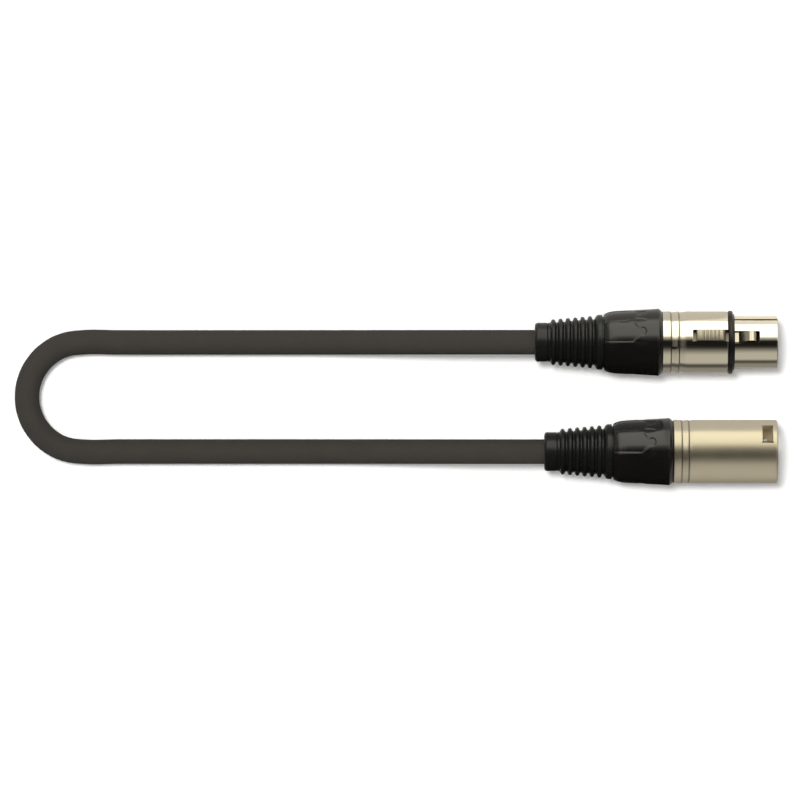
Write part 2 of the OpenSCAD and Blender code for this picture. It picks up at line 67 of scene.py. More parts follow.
# ---- Cable ----
# The flexible cable between the plugs: soft PVC drawn over the cores, with a dull, faintly
# pebbled skin. It leaves each boot straight, sinks to the surface and makes one U-bend.
mm = 0.001
cable_radius = 3.7
cable_route = (
    (-36.33, 16.4, 10.3), (-47, 16.4, 10.3), (-58, 16.4, 9.9), (-69, 16.4, 8.7), (-80, 16.4, 7),
    (-91, 16.4, 5.3), (-102, 16.4, 4.2), (-113, 16.4, 3.8), (-125, 16.4, 3.7), (-137, 16.4, 3.7),
    (-149, 16.4, 3.7), (-161, 16.4, 3.7), (-172.5, 16.4, 3.7), (-177.6, 15.6, 3.7),
    (-182.1, 13.3, 3.7), (-185.8, 9.6, 3.7), (-188.1, 5.1, 3.7), (-188.9, 0, 3.7),
    (-188.1, -5.1, 3.7), (-185.8, -9.6, 3.7), (-182.1, -13.3, 3.7), (-177.6, -15.6, 3.7),
    (-172.5, -16.4, 3.7), (-161, -16.4, 3.7), (-149, -16.4, 3.7), (-137, -16.4, 3.7),
    (-125, -16.4, 3.7), (-112, -16.4, 3.7), (-100, -16.4, 3.9), (-89, -16.4, 4.5),
    (-78, -16.4, 5.9), (-67, -16.4, 7.8), (-56, -16.4, 9.5), (-45, -16.4, 10.3),
    (-33.53, -16.4, 10.3))


def new_group(name, inputs, outputs):
    """A node group with named sockets, and what its nodes read from and write to."""
    group = bpy.data.node_groups.new(name, "ShaderNodeTree")
    for direction, sockets in (("INPUT", inputs), ("OUTPUT", outputs)):
        for socket, kind in sockets.items():
            group.interface.new_socket(socket, in_out=direction, socket_type="NodeSocket" + kind)
    given = group.nodes.new("NodeGroupInput").outputs
    return group, given, group.nodes.new("NodeGroupOutput").inputs


def add_node(tree, kind, links=(), **settings):
    """A node with its settings, and its inputs linked or set by name or number."""
    node = tree.nodes.new("ShaderNode" + kind)
    for key, value in settings.items():
        setattr(node, key, value)
    for key, value in dict(links).items():
        if isinstance(value, bpy.types.NodeSocket):
            tree.links.new(value, node.inputs[key])
        else:
            node.inputs[key].default_value = value
    return node.outputs


# Effect shared by every finish: broad patches that shift colour and polish, under a fine grain
skin, given, result = new_group(
    "surface_skin",
    {"Colour": "Color", "Patch Colour": "Color", "Roughness": "Float", "Spread": "Float",
     "Patch": "Float", "Grain": "Float"},
    {"Colour": "Color", "Roughness": "Float", "Height": "Float"})
spot = add_node(skin, "TexCoord")["Object"]
patches = add_node(skin, "TexNoise", {"Vector": spot, "Scale": given["Patch"], "Detail": 3.0})["Fac"]
grains = add_node(skin, "TexNoise", {"Vector": spot, "Scale": given["Grain"], "Detail": 2.0})["Fac"]
patch_mask = add_node(skin, "MapRange", {"Value": patches, "From Min": 0.35, "From Max": 0.65})[0]
grain_mask = add_node(skin, "MapRange", {"Value": grains, "From Min": 0.3, "From Max": 0.7})[0]
mixed = add_node(skin, "Math", {0: patch_mask, 1: grain_mask}, operation="ADD")[0]
mask = add_node(skin, "Math", {0: mixed, 1: 0.5}, operation="MULTIPLY")[0]
tint = add_node(skin, "Mix", {0: mask, 6: given["Colour"], 7: given["Patch Colour"]},
                data_type="RGBA")[2]
swing = add_node(skin, "Math", {0: mask, 1: 0.5}, operation="SUBTRACT")[0]
polish = add_node(skin, "Math", {0: swing, 1: given["Spread"], 2: given["Roughness"]},
                  operation="MULTIPLY_ADD")[0]
for socket, value in (("Colour", tint), ("Roughness", polish), ("Height", grain_mask)):
    skin.links.new(value, result[socket])


def new_finish(name, colour, patch_colour, roughness, spread, patch, grain, relief, **shader):
    """A material on the shared skin. patch and grain are counts per metre, relief is in metres."""
    material = bpy.data.materials.new(name + "_finish")
    material["slot"] = name
    material.use_nodes = True
    tree = material.node_tree
    surface = tree.nodes.new("ShaderNodeGroup")
    surface.node_tree = skin
    for socket, value in (("Colour", (*colour, 1)), ("Patch Colour", (*patch_colour, 1)),
                          ("Roughness", roughness), ("Spread", spread), ("Patch", patch),
                          ("Grain", grain)):
        surface.inputs[socket].default_value = value
    bump = add_node(tree, "Bump", {"Height": surface.outputs["Height"], "Strength": 1.0,
                                   "Distance": relief})["Normal"]
    principled = tree.nodes["Principled BSDF"]
    for socket, value in (("Base Color", surface.outputs["Colour"]),
                          ("Roughness", surface.outputs["Roughness"]), ("Normal", bump)):
        tree.links.new(value, principled.inputs[socket])
    for socket, value in shader.items():
        principled.inputs[socket.replace("_", " ")].default_value = value
    return material


cable_jacket = new_finish("cable_jacket", (0.046, 0.0425, 0.0375), (0.054, 0.0495, 0.043),
                          0.72, 0.16, 140, 1800, 2.5e-5, Specular_IOR_Level=0.1)
cable_curve = bpy.data.curves.new("cable_jacket_run", "CURVE")
cable_curve.dimensions = "3D"
cable_curve.bevel_depth = cable_radius * mm
cable_curve.bevel_resolution = 10
cable_curve.resolution_u = 10
cable_curve.use_fill_caps = True
cable_curve.materials.append(cable_jacket)
spline = cable_curve.splines.new("BEZIER")
spline.bezier_points.add(len(cable_route) - 1)
for point, spot in zip(spline.bezier_points, cable_route):
    point.co = Vector(spot) * mm
    point.handle_left_type = point.handle_right_type = "AUTO"
cable = bpy.data.objects.new("cable_jacket_run", cable_curve)
collection.objects.link(cable)
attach(cable, "lead")
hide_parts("cable")

# ---- Boots ----
# The bend relief behind each screw cap: soft black rubber moulded in one piece, with a tail
# collar, six rings that grow towards the cap, a front collar and a flange that the cap holds.
turn_steps = 128


def arc(radius, station, size, start, end, steps):
    """Corners of an arc, each as a radius and a station along the plug, in millimetres."""
    return [(radius + size * cos(radians(start + (end - start) * i / steps)),
             station + size * sin(radians(start + (end - start) * i / steps)))
            for i in range(steps + 1)]


def turned(outline, steps=turn_steps):
    """A closed outline of radii and stations spun round the plug's axis."""
    bm = bmesh.new()
    corners = [bm.verts.new((radius, 0, station)) for radius, station in outline]
    edges = [bm.edges.new(pair) for pair in zip(corners, corners[1:] + corners[:1])]
    bmesh.ops.spin(bm, geom=corners + edges, axis=(0, 0, 1), cent=(0, 0, 0), angle=tau,
                   steps=steps, use_merge=True)
    bmesh.ops.remove_doubles(bm, verts=bm.verts, dist=1e-4)
    bmesh.ops.recalc_face_normals(bm, faces=bm.faces)
    return bm


def plug_place(tail_node, roll):
    """From a plug's own millimetres, tail at zero and latch up, to its place in the frame."""
    low, high = (Vector(corner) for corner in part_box(tail_node))
    tail = Vector((low.x, (low.y + high.y) / 2, (low.z + high.z) / 2))
    axes = Matrix(((0, 0, 1, 0), (1, 0, 0, 0), (0, 1, 0, 0), (0, 0, 0, 1)))
    return (Matrix.Translation(tail) @ Matrix.Rotation(-radians(roll), 4, "X") @ axes
            @ Matrix.Scale(mm, 4))


def new_piece(name, bm, place, material, body, node, crease=32):
    """Puts a finished shape in the frame, on its body, in place of the solid that it dresses."""
    bm.transform(place)
    mesh = bpy.data.meshes.new(name)
    bm.to_mesh(mesh)
    bm.free()
    mesh.materials.append(material)
    mesh.polygons.foreach_set("use_smooth", [True] * len(mesh.polygons))
    mesh.set_sharp_from_angle(angle=radians(crease))
    piece = bpy.data.objects.new(name, mesh)
    collection.objects.link(piece)
    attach(piece, body)
    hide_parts(node)
    return piece


female_roll, male_roll = 12.5, 36
plugs = {"female": plug_place("female_boot", female_roll),
         "male": plug_place("male_boot", male_roll)}

boot_bore, tail_radius, tail_length, tail_round = 3.85, 5.85, 3.8, 0.9
ring_count, ring_pitch, first_ring = 6, 2.2, 5.5
ring_half, ring_height = 0.66, 1.05
first_crest, last_crest = 6.9, 7.85
collar_start, collar_end, collar_radius = 17.96, 20.26, 8.25
neck_radius, flange_radius, flange_start, flange_end = 5.2, 5.9, 22.36, 23.61

boot_outline = [(boot_bore + 0.3, 0)]
boot_outline += arc(tail_radius - tail_round, tail_round, tail_round, -90, 0, 8)
boot_outline += arc(tail_radius - 0.35, tail_length - 0.35, 0.35, 0, 80, 5)
for i in range(ring_count):
    share = i / (ring_count - 1)
    crest = first_crest + share * (last_crest - first_crest)
    station = first_ring + i * ring_pitch
    gap = (ring_pitch - 2 * ring_half) / 2
    if i == 0:
        boot_outline += [(crest - ring_height, tail_length + 0.12),
                         (crest - ring_height, station - ring_half - 0.3)]
    boot_outline += arc(crest - ring_half, station, ring_half, -90, 90, 10)
    if i < ring_count - 1:
        root = crest - ring_height + 0.1
        boot_outline += arc(root + gap, station + ring_pitch / 2, gap, 250, 110, 8)[1:-1]
boot_outline += arc(last_crest - ring_height + 0.4, collar_start - 0.45, 0.4, 250, 130, 6)
boot_outline += arc(collar_radius - 1.1, collar_start + 1.25, 1.1, -75, -8, 7)
boot_outline += arc(collar_radius - 0.3, collar_end - 0.3, 0.3, 0, 90, 5)
boot_outline += [(collar_radius - 0.6, collar_end), (collar_radius - 0.6, collar_end + 0.35),
                 (neck_radius, collar_end + 0.35), (neck_radius, flange_start),
                 (flange_radius, flange_start), (flange_radius, flange_end),
                 (boot_bore, flange_end), (boot_bore, 0.3)]
boot_rubber = new_finish("boot_rubber", (0.0075, 0.0075, 0.0065), (0.010, 0.010, 0.0085),
                         0.27, 0.10, 160, 2600, 8e-6, IOR=1.42)
for sex, place in plugs.items():
    new_piece(sex + "_ribbed_boot", turned(boot_outline), place, boot_rubber,
              sex + "_boot", sex + "_boot", crease=50)

# ---- Screw caps ----
# The cap that screws on the shell's spigot and squeezes the chuck: hard glossy black plastic,
# with eight finger flutes that end in a round tip, small scoops between them, and a rim whose
# front corner is rounded off. Stations are in millimetres from the boot's tail.
flute_count, flute_depth, flute_wall = 8, 0.2, 0.36
flute_taper, flute_waist, flute_tip = 29.4, 31.7, 33.4
flute_wide, flute_narrow = 20.7, 9.5
blend_station, blend_reach, blend_wall = 30.7, 1.9, 1.3
scoop_half, scoop_start, scoop_end, scoop_depth = 6.5, 27.4, 33.8, 0.13
rim_start, skin_end, cap_steps = 36.8, 36.9, 400
cap_inside = [(5.3, 22.26), (6.0, 22.26), (6.0, 24.06), (7.6, 29.11), (8.4, 29.11), (8.4, 38.5)]
cap_profile = ((20.56, 7.85), (20.66, 8.2), (20.85, 8.44), (21.4, 8.76), (22.15, 9.03),
               (23.2, 9.24), (24.6, 9.4), (29.2, 9.63), (33.8, 9.87), (36.9, 10.05),
               (37.15, 10.09), (37.3, 10.1), (37.42, 10.07), (37.55, 10.0), (37.75, 9.86),
               (38.0, 9.66), (38.25, 9.43), (38.42, 9.24), (38.5, 9.1))


def cap_radius(station):
    """The cap's outer radius before its flutes are pressed in."""
    for (z1, r1), (z2, r2) in zip(cap_profile, cap_profile[1:]):
        if station <= z2:
            return r1 + (r2 - r1) * (station - z1) / (z2 - z1)
    return cap_profile[-1][1]


def flute_half(station):
    """Half the angle in degrees that a finger flute takes up at a station."""
    share = min(max((station - flute_taper) / (flute_waist - flute_taper), 0), 1)
    return flute_wide + (flute_narrow - flute_wide) * share * share * (3 - 2 * share)


cap_stations = [20.56, 20.6, 20.66, 20.74, 20.85, 21.0, 21.2, 21.4, 21.7, 22.0]
cap_stations += [22.2 + i * 0.17 for i in range(87)]
cap_stations += [36.9, 37.0, 37.15, 37.22, 37.3, 37.36, 37.42, 37.48, 37.55, 37.65, 37.75, 37.87,
                 38.0, 38.12, 38.25, 38.34, 38.42, 38.46, 38.5]
cap_outline = [(cap_radius(station), station) for station in cap_stations]
cap_outline += list(reversed(cap_inside)) + [(5.3, 20.56)]


def shape_cap(bm, phase):
    """Moves the cap's outer skin in at the flutes and scoops. phase turns them about the axis,
    and grid_edge is the share of the skin's columns that crowd into each flute."""
    pitch = 360 / flute_count
    grid_edge = 0.55
    for vert in bm.verts:
        radius, station = hypot(vert.co.x, vert.co.y), vert.co.z
        if radius < cap_radius(station) - 0.01 or station > skin_end:
            continue
        turn = degrees(atan2(vert.co.x, vert.co.y)) - phase
        middle = round(turn / pitch) * pitch
        side = (turn - middle) / (pitch / 2)
        half = flute_half(station)
        if abs(side) < grid_edge:
            offset = side / grid_edge * half
        else:
            rest = (abs(side) - grid_edge) / (1 - grid_edge)
            offset = (half + rest * (pitch / 2 - half)) * (1 if side > 0 else -1)
        angle = radians(middle + offset + phase)
        half_width = radians(half) * radius
        past_tip = max(station - (flute_tip - half_width), 0) if station > flute_taper + 2 else 0
        blend = max(1 - abs(station - blend_station) / blend_reach, 0)
        wall = flute_wall + blend_wall * blend * blend * (3 - 2 * blend)
        inside = min(max((half_width - hypot(radians(offset) * radius, past_tip)) / wall, 0), 1)
        inside *= inside * (3 - 2 * inside)
        new_radius = radius - flute_depth * inside
        beside = (pitch / 2 - abs(offset)) * (-1 if offset > 0 else 1)
        along = (station - (scoop_start + scoop_end) / 2) / ((scoop_end - scoop_start) / 2)
        width = scoop_half * (1 - along * along) if abs(along) < 1 else 0
        if width > abs(beside):
            across = beside / width
            dip = (1 - along * along) * min((1 - across) / 0.4, (1 + across) / 1.6)
            new_radius -= scoop_depth * dip * (1 - inside)
        vert.co.x, vert.co.y = new_radius * sin(angle), new_radius * cos(angle)


cap_plastic = new_finish("cap_plastic", (0.006, 0.0055, 0.005), (0.0075, 0.0068, 0.006),
                         0.17, 0.06, 110, 3500, 2e-6, IOR=1.58)
flute_phases = {"female": 20 - female_roll, "male": 18 - male_roll}
rim_shift = {"female": -0.37, "male": 0.07}
for sex, place in plugs.items():
    cap = turned(cap_outline, cap_steps)
    shape_cap(cap, flute_phases[sex])
    for vert in cap.verts:
        if vert.co.z > rim_start:
            vert.co.z += rim_shift[sex]
    new_piece(sex + "_screw_cap", cap, place, cap_plastic, sex + "_bushing", sex + "_bushing",
              crease=25)

# ---- Female shell ----
# Die-cast zinc, polished and plated in bright nickel: threaded spigot, body with two saw-tooth
# grooves, and the thinner nose with its keyway. Slots leave room for the thumb pad and the hook.
shell_bore, female_body, nose_outer, nose_bore = 7.1, 9.25, 7.9, 6.9
ring_start, nose_start, nose_end = 57.76, 60.16, 72.66
spigot_radius, thread_crest, thread_pitch = 8.0, 8.3, 1.5
thread_start, thread_turns, thread_steps = 30.3, 4.9, 64


def block(low, high):
    """A box between two corners."""
    bm = bmesh.new()
    bmesh.ops.create_cube(bm, size=1)
    size = [b - a for a, b in zip(low, high)]
    middle = [(a + b) / 2 for a, b in zip(low, high)]
    bmesh.ops.scale(bm, vec=size, verts=bm.verts)
    bmesh.ops.translate(bm, vec=middle, verts=bm.verts)
    return bm


def round_corners(bm, direction, size, segments=3):
    """Bevels the edges of a cutter that run along one direction."""
    edges = [edge for edge in bm.edges
             if abs((edge.verts[1].co - edge.verts[0].co).normalized().dot(Vector(direction))) > 0.99]
    bmesh.ops.bevel(bm, geom=edges, offset=size, offset_type="OFFSET", segments=segments,
                    profile=0.5, affect="EDGES", material=-1)
    return bm


def combined(bm, other, operation="DIFFERENCE"):
    """One shape cut from another, joined to it, or kept where both are."""
    stock, tool = (bpy.data.objects.new(name, bpy.data.meshes.new(name)) for name in ("stock", "tool"))
    for thing, shape in ((stock, bm), (tool, other)):
        shape.to_mesh(thing.data)
        shape.free()
        collection.objects.link(thing)
    modifier = stock.modifiers.new("cut", "BOOLEAN")
    modifier.operation, modifier.solver, modifier.object = operation, "EXACT", tool
    bpy.context.view_layer.update()
    evaluated = stock.evaluated_get(bpy.context.evaluated_depsgraph_get())
    made = bmesh.new()
    made.from_mesh(evaluated.data)
    for thing in (stock, tool):
        mesh = thing.data
        bpy.data.objects.remove(thing)
        bpy.data.meshes.remove(mesh)
    return made


def round_edges(bm, size, inside, segments=3):
    """Rounds the sharp edges whose middles pass a test."""
    edges = [edge for edge in bm.edges if edge.is_manifold and edge.calc_face_angle() > radians(35)
             and inside((edge.verts[0].co + edge.verts[1].co) / 2)]
    bmesh.ops.bevel(bm, geom=edges, offset=size, offset_type="OFFSET", segments=segments,
                    profile=0.5, affect="EDGES", material=-1, clamp_overlap=True)


def keep_flats(piece):
    """Shades flat faces flat, next to the rounded edges."""
    weighted = piece.modifiers.new("flats", "WEIGHTED_NORMAL")
    weighted.keep_sharp = True
    weighted.weight = 50


def spigot_outline(bore, bore_end, body_start):
    """Rear part of a shell's outline: from its bore round the spigot's rear to the body."""
    return [(bore, bore_end), (bore, 29.61), (bore + 0.2, 29.41), (spigot_radius - 0.2, 29.41),
            (spigot_radius, 29.61), (spigot_radius, body_start)]


def spigot_thread():
    """The helical thread that the screw cap turns on."""
    bm = bmesh.new()
    corners = [bm.verts.new((radius, 0, thread_start + rise)) for radius, rise in (
        (spigot_radius - 0.4, -0.4), (spigot_radius, -0.4), (thread_crest, -0.1),
        (thread_crest, 0.1), (spigot_radius, 0.4), (spigot_radius - 0.4, 0.4))]
    edges = [bm.edges.new(pair) for pair in zip(corners, corners[1:] + corners[:1])]
    bmesh.ops.spin(bm, geom=corners + edges, axis=(0, 0, 1), cent=(0, 0, 0),
                   angle=tau * thread_turns, dvec=(0, 0, thread_pitch / thread_steps),
                   steps=int(thread_steps * thread_turns), use_merge=False)
    bmesh.ops.holes_fill(bm, edges=[edge for edge in bm.edges if edge.is_boundary])
    bmesh.ops.recalc_face_normals(bm, faces=bm.faces)
    return bm


def grooves(body_radius, first, second, end, depth):
    """Two saw-tooth grooves: each drops at once and comes back slowly."""
    low = body_radius - depth
    return [(body_radius - 0.03, first - 0.04), (low + 0.04, first + 0.12), (low, first + 0.2),
            (low + 0.02, first + 0.4), (low + 0.35 * depth, first + 1.0),
            (low + 0.75 * depth, second - 0.6), (body_radius - 0.01, second - 0.12),
            (body_radius - 0.03, second - 0.03), (low + 0.04, second + 0.12), (low, second + 0.2),
            (low + 0.02, second + 0.4), (low + 0.4 * depth, second + 1.1),
            (low + 0.85 * depth, end - 0.8), (body_radius, end)]


# Effect shared by both platings: painted shade, dark bands round a plug on its grooves' steep sides,
# where they lie in shade. The seams are places along the X axis, in metres
seam_shade, given, result = new_group(
    "seam_shade", {"First Seam": "Float", "Second Seam": "Float"}, {"Mask": "Float"})
spot = add_node(seam_shade, "SeparateXYZ", {0: add_node(seam_shade, "TexCoord")["Object"]})["X"]
bands = []
for seam in ("First Seam", "Second Seam"):
    away = add_node(seam_shade, "Math", {0: spot, 1: given[seam]}, operation="SUBTRACT")[0]
    away = add_node(seam_shade, "Math", {0: away}, operation="ABSOLUTE")[0]
    bands.append(add_node(seam_shade, "MapRange", {"Value": away, "From Min": 1e-4, "From Max": 3.6e-4,
                                                   "To Min": 0.42, "To Max": 1.0})[0])
mask = add_node(seam_shade, "Math", {0: bands[0], 1: bands[1]}, operation="MULTIPLY")[0]
seam_shade.links.new(mask, result["Mask"])


def paint_shade(material, mask):
    """Multiplies a finish's colour by a mask, to paint shade where the plating lies in shade."""
    tree = material.node_tree
    base = tree.nodes["Principled BSDF"].inputs["Base Color"]
    shaded = add_node(tree, "VectorMath", {0: base.links[0].from_socket}, operation="SCALE")[0]
    tree.links.new(mask, shaded.node.inputs["Scale"])
    tree.links.new(shaded, base)


def paint_seam_shade(material, tail, stations):
    """Paints shade into a plating at two stations of its plug, the steep sides of its grooves."""
    bands = material.node_tree.nodes.new("ShaderNodeGroup")
    bands.node_tree = seam_shade
    for seam, station in zip(("First Seam", "Second Seam"), stations):
        bands.inputs[seam].default_value = tail.x + station * mm
    paint_shade(material, bands.outputs["Mask"])


bright_nickel = new_finish("bright_nickel", (0.79, 0.725, 0.60), (0.82, 0.755, 0.63),
                           0.09, 0.05, 90, 2500, 4e-7, Metallic=1.0)
body_start, female_drops, groove_end = 38.15, (40.65, 43.05), 45.9
female_outline = spigot_outline(shell_bore, nose_start, body_start)
female_outline += [(female_body - 0.1, body_start), (female_body, body_start + 0.1)]
female_outline += grooves(female_body, *female_drops, groove_end, 0.27)
female_outline += [(female_body, 46.8), (female_body, 52)]
female_outline += arc(female_body - 0.3, ring_start - 0.3, 0.3, 0, 90, 5)
female_outline += [(nose_outer, ring_start), (nose_outer, 63), (nose_outer, 67.4)]
female_outline += arc(nose_outer - 0.4, nose_end - 0.4, 0.4, 0, 90, 6)
female_outline += arc(nose_bore + 0.25, nose_end - 0.25, 0.25, 90, 180, 4)
female_outline += [(nose_bore, nose_start)]
female_shell = combined(turned(female_outline), spigot_thread(), "UNION")
pad_slot_half, pad_slot_start, hook_slot_half, hook_slot_end, slot_corner = 1.8, 47.1, 1.7, 67.15, 0.35
keyway_turn, keyway_half, keyway_floor, keyway_start = radians(46), 0.4, 7.35, 59.3
pad_slot = block((-pad_slot_half, 5, pad_slot_start), (pad_slot_half, 12, ring_start + 1))
hook_slot = block((-hook_slot_half, 5, ring_start - 0.5), (hook_slot_half, 12, hook_slot_end))
keyway = block((-keyway_half, keyway_floor, keyway_start), (keyway_half, 9, nose_end + 1))
bmesh.ops.rotate(keyway, verts=keyway.verts, cent=(0, 0, 0),
                 matrix=Matrix.Rotation(-keyway_turn, 3, "Z"))
for cutter in (round_corners(pad_slot, (0, 1, 0), slot_corner),
               round_corners(hook_slot, (0, 1, 0), slot_corner), keyway):
    female_shell = combined(female_shell, cutter)
round_edges(female_shell, 0.4, lambda spot: spot.y > nose_bore and abs(spot.x) < 2.1
            and 46 < spot.z < nose_end - 2)
round_edges(female_shell, 0.08, lambda spot: spot.x > 4 and spot.y > 3.5
            and spot.z > nose_start + 0.5 and hypot(spot.x, spot.y) > 7.8)
keep_flats(new_piece("female_shell_casting", female_shell, plugs["female"], bright_nickel, "lead",
                     "female_shell"))
female_tail = plugs["female"].translation
paint_seam_shade(bright_nickel, female_tail, female_drops)
# Painted shade: the keyway's slot along the nose is darkened in the plating's colour, and nothing
# behind the nose
tree = bright_nickel.node_tree
spot = add_node(tree, "VectorMath", {0: add_node(tree, "TexCoord")["Object"], 1: female_tail},
                operation="SUBTRACT")[0]
spot = add_node(tree, "SeparateXYZ", {0: spot})
turn = add_node(tree, "Math", {0: spot["Y"], 1: spot["Z"]}, operation="ARCTAN2")[0]
away = add_node(tree, "Math", {0: turn, 1: keyway_turn + radians(female_roll)},
                operation="SUBTRACT")[0]
away = add_node(tree, "Math", {0: away}, operation="ABSOLUTE")[0]
keyway_shade = add_node(tree, "MapRange", {"Value": away, "From Min": 0.04, "From Max": 0.055,
                                     "To Min": 0.1, "To Max": 1.0})[0]
behind_nose = add_node(tree, "Math", {0: spot["X"], 1: keyway_start * mm}, operation="LESS_THAN")[0]
paint_shade(bright_nickel, add_node(tree, "Math", {0: keyway_shade, 1: behind_nose}, operation="MAXIMUM")[0])

# ---- Rubber ring ----
# A soft black ring pulled over the nose against the body's step. It bulges at its outer edge,
# and its thinner front lip seals against the rim of the plug that it meets.
ring_bore, ring_radius, lip_start, lip_end = nose_outer + 0.05, 9.5, 59.26, 59.7
ring_outline = [(ring_bore, ring_start + 0.05)]
ring_outline += arc(ring_radius - 0.55, ring_start + 0.6, 0.55, -90, 0, 6)
ring_outline += arc(ring_radius - 0.45, 58.8, 0.45, 0, 90, 6)
ring_outline += [(8.75, lip_start)] + arc(8.2, lip_end - 0.3, 0.3, 0, 90, 4) + [(ring_bore, lip_end)]
ring_rubber = new_finish("black_rubber", (0.0035, 0.002, 0.003), (0.005, 0.0035, 0.0045),
                         0.3, 0.10, 300, 3000, 1e-5, IOR=1.43)
new_piece("nose_sealing_ring", turned(ring_outline), plugs["female"], ring_rubber, "lead",
          "nose_ring", crease=40)

# ---- Latch ----
# The lever that holds two plugs together: cast and nickel-plated, with a grooved thumb pad, a
# hook near its front and two trunnions at its rear that turn in the black block.
lever_low, lever_high, hook_half = 5.4, 6.6, 1.45
pad_top, pad_half, pad_curve = 10.35, 1.6, 6
pad_groove_count, pad_groove_pitch, first_pad_groove = 5, 1.14, 50.25
pad_groove = ((-0.32, 0), (-0.2, 0.08), (-0.08, 0.24), (0.08, 0.24), (0.2, 0.08), (0.32, 0))
trunnion_radius, trunnion_length, trunnion_height, trunnion_station = 0.55, 5, 5.8, 46.96


def soften(piece, width, angle=30, segments=2):
    """Rounds all sharp edges of a piece by a few hundredths of a millimetre."""
    bevel = piece.modifiers.new("edges", "BEVEL")
    bevel.width, bevel.segments, bevel.limit_method = width * mm, segments, "ANGLE"
    bevel.angle_limit = radians(angle)
    bevel.profile = 0.5
    bevel.use_clamp_overlap = True
    keep_flats(piece)


def plate(profile, half_width):
    """A profile of stations and heights with a width to both sides of the plug's middle."""
    bm = bmesh.new()
    corners = [bm.verts.new((-half_width, height, station)) for station, height in profile]
    face = bm.faces.new(corners)
    made = bmesh.ops.extrude_face_region(bm, geom=[face])["geom"]
    bmesh.ops.translate(bm, vec=(2 * half_width, 0, 0),
                        verts=[item for item in made if isinstance(item, bmesh.types.BMVert)])
    bmesh.ops.recalc_face_normals(bm, faces=bm.faces)
    return bm


hook_profile = [(46.56, lever_low), (66.6, lever_low), (66.6, lever_high - 0.3), (66.5, lever_high),
                (66.4, 7.2), (66.2, 7.7), (65.95, 8.1), (65.65, 8.42), (65.25, 8.64), (64.8, 8.72),
                (64.3, 8.7), (63.9, 8.6), (63.5, 8.38), (62.8, 7.9), (61.9, 7.3), (60.9, lever_high),
                (46.56, lever_high)]
pad_profile = [(48.2, 6.4), (48.2, pad_top - 0.4), (48.32, pad_top - 0.12), (48.6, pad_top)]
for i in range(pad_groove_count):
    station = first_pad_groove + i * pad_groove_pitch
    pad_profile += [(station + step, pad_top - drop) for step, drop in pad_groove]
pad_profile += [(56.0, pad_top), (56.25, pad_top - 0.15), (56.8, 9.2), (56.9, 8.8), (56.9, 6.4)]
thumb_pad = plate(pad_profile, pad_half)
for share in range(1, 12):
    whole_pad = thumb_pad.verts[:] + thumb_pad.edges[:] + thumb_pad.faces[:]
    bmesh.ops.bisect_plane(thumb_pad, geom=whole_pad, plane_co=(pad_half * (share / 6 - 1), 0, 0),
                           plane_no=(1, 0, 0))
for vert in thumb_pad.verts:
    if vert.co.y > 9.5:
        vert.co.y -= pad_curve - sqrt(pad_curve ** 2 - vert.co.x ** 2)
trunnion = bmesh.new()
bmesh.ops.create_cone(trunnion, cap_ends=True, segments=32, radius1=trunnion_radius,
                      radius2=trunnion_radius, depth=trunnion_length,
                      matrix=Matrix.Translation((0, trunnion_height, trunnion_station))
                      @ Matrix.Rotation(pi / 2, 4, "Y"))
lever = combined(combined(plate(hook_profile, hook_half), thumb_pad, "UNION"), trunnion, "UNION")
latch_steel = new_finish("latch_steel", (0.60, 0.54, 0.43), (0.66, 0.60, 0.48),
                         0.24, 0.08, 300, 4000, 1.5e-6, Metallic=1.0)
soften(new_piece("latch_lever", lever, plugs["female"], latch_steel, "latch", "latch"), 0.07)
# The pad behind the ring is left as cast, so it is rougher than the hook; there its colour is also
# darkened, a painted shade
tree = latch_steel.node_tree
spot = add_node(tree, "SeparateXYZ", {0: add_node(tree, "TexCoord")["Object"]})["X"]
rough_shaded_rear = add_node(tree, "MapRange", {"Value": spot, "From Min": female_tail.x + 57.5 * mm,
                                   "From Max": female_tail.x + 58.5 * mm,
                                   "To Min": 1, "To Max": 0})[0]
polish = tree.nodes["Principled BSDF"].inputs["Roughness"]
rough = add_node(tree, "Math", {0: rough_shaded_rear, 1: 0.26, 2: polish.links[0].from_socket},
                 operation="MULTIPLY_ADD")[0]
tree.links.new(rough, polish)
# Painted shade: the colour of the lever's rear is darkened
paint_shade(latch_steel, add_node(tree, "MapRange", {"Value": rough_shaded_rear, "To Min": 1.0, "To Max": 0.8})[0])

# ---- Springs ----
# A small coil spring stands in the block under the thumb pad.
# Two flat springs join the contact blocks to the shells. All are bare, slightly brushed steel.
spring_steel = new_finish("spring_steel", (0.50, 0.49, 0.46), (0.62, 0.61, 0.57),
                          0.25, 0.15, 400, 5000, 2e-6, Metallic=1.0)
coil_radius, coil_wire, coil_turns, coil_station = 0.95, 0.32, 5, 53.06
coil_low, coil_high, coil_pressed = 2.41, 5.17, 0.82


def dress(nodes, material):
    """Gives solids that keep their own shape a finish."""
    for node in nodes:
        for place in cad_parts[node].material_slots:
            place.material = material


coil = bmesh.new()
bmesh.ops.create_circle(coil, segments=12, radius=coil_wire / 2,
                        matrix=Matrix.Translation((coil_radius, 0, 0))
                        @ Matrix.Rotation(pi / 2, 4, "X"))
coil_steps = 40 * coil_turns
bmesh.ops.spin(coil, geom=coil.verts[:] + coil.edges[:], axis=(0, 0, 1), cent=(0, 0, 0),
               angle=tau * coil_turns, dvec=(0, 0, (coil_high - coil_low) / coil_steps),
               steps=coil_steps, use_merge=False)
bmesh.ops.holes_fill(coil, edges=[edge for edge in coil.edges if edge.is_boundary])
bmesh.ops.recalc_face_normals(coil, faces=coil.faces)
coil.transform(Matrix.Translation((0, coil_low, coil_station)) @ Matrix.Rotation(-pi / 2, 4, "X"))
latch_coil = new_piece("latch_coil_spring", coil, plugs["female"], spring_steel, "lead",
                       "latch_spring")
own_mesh(latch_coil)
dress(("female_ground_spring", "male_ground_spring"), spring_steel)

